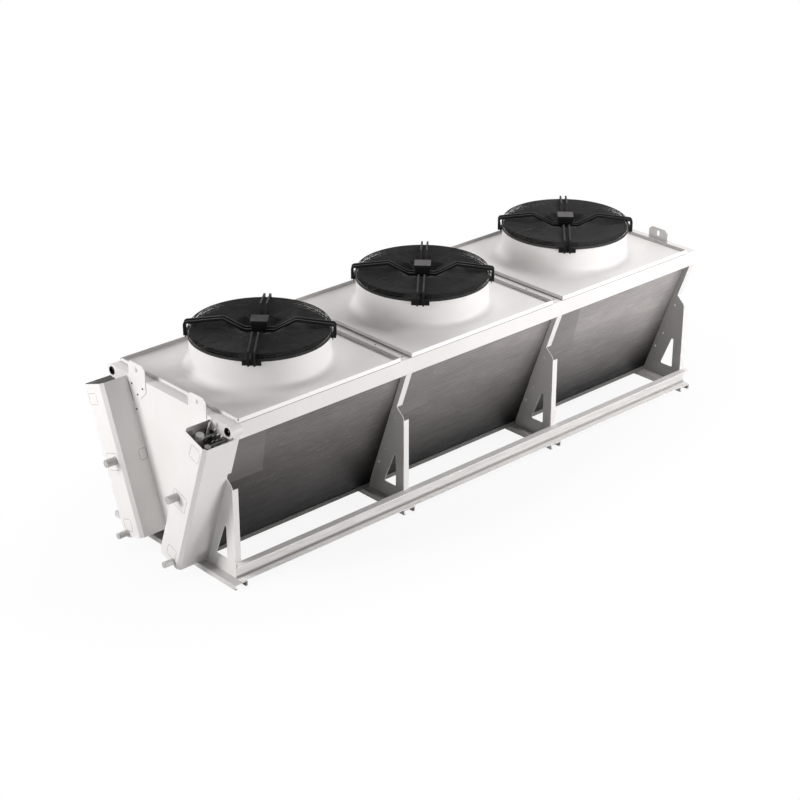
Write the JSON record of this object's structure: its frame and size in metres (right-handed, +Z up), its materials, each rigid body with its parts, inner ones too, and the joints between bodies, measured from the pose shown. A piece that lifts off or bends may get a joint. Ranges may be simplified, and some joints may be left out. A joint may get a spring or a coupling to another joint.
{
  "type": "dry cooler",
  "caption": "Long V-shaped dry cooler with leaning finned coils, folded white side frames, guarded axial fans on top and headers with pipe stubs at one end.",
  "frame": {"origin": "on the floor, in the middle of the whole machine's length and width", "axes": "+X along the machine, away from the end with the headers; +Z up; +Y to the left long side"},
  "size_m": [4.714, 1.324, 1.4465],
  "materials": {
    "white_paint": "powder coat, semi gloss",
    "grey_paint": "matt",
    "coil_fins": "fine fins",
    "pipe_paint": "matt",
    "black_coating": "matt powder coat",
    "black_plastic": "matt",
    "black_rubber": "matt"
  },
  "bodies": {
    "cabinet": {"side_frame_right_1": "white_paint", "side_frame_left_1": "white_paint", "side_frame_right_2": "white_paint", "side_frame_left_2": "white_paint", "side_frame_right_3": "white_paint", "side_frame_left_3": "white_paint", "side_frame_right_4": "white_paint", "side_frame_left_4": "white_paint", "base_rail_right": "white_paint", "coil_right": "coil_fins", "top_rail_right": "white_paint", "header_cover_right": "white_paint", "header_pipes_right": "pipe_paint", "base_rail_left": "white_paint", "coil_left": "coil_fins", "top_rail_left": "white_paint", "header_cover_left": "white_paint", "header_pipes_left": "pipe_paint", "deck_beam_1": "white_paint", "deck_beam_2": "white_paint", "fan_plate_1": "white_paint", "fan_cowl_1": "white_paint", "fan_guard_1": "black_coating", "fan_motor_1": "black_coating", "fan_plate_2": "white_paint", "fan_cowl_2": "white_paint", "fan_guard_2": "black_coating", "fan_motor_2": "black_coating", "fan_plate_3": "white_paint", "fan_cowl_3": "white_paint", "fan_guard_3": "black_coating", "fan_motor_3": "black_coating", "header_end_beam": "white_paint", "far_end_beam": "white_paint", "beam_plugs": "black_rubber", "base_tray": "grey_paint", "cross_members": "white_paint", "end_plate_front": "white_paint", "end_plate_back": "white_paint", "lifting_lugs_front": "white_paint", "lifting_lugs_back": "white_paint"},
    "rotor_1": {"impeller_1": "black_plastic"},
    "rotor_2": {"impeller_2": "black_plastic"},
    "rotor_3": {"impeller_3": "black_plastic"}
  },
  "joints": [
    {"name": "fan_spin_1", "type": "hinge", "parent": "cabinet", "child": "rotor_1", "pos_m": [-1.323, 0, 1.3], "axis": [0, 0, 1], "continuous": true},
    {"name": "fan_spin_2", "type": "hinge", "parent": "cabinet", "child": "rotor_2", "pos_m": [0.127, 0, 1.3], "axis": [0, 0, 1], "continuous": true},
    {"name": "fan_spin_3", "type": "hinge", "parent": "cabinet", "child": "rotor_3", "pos_m": [1.577, 0, 1.3], "axis": [0, 0, 1], "continuous": true}
  ]
}
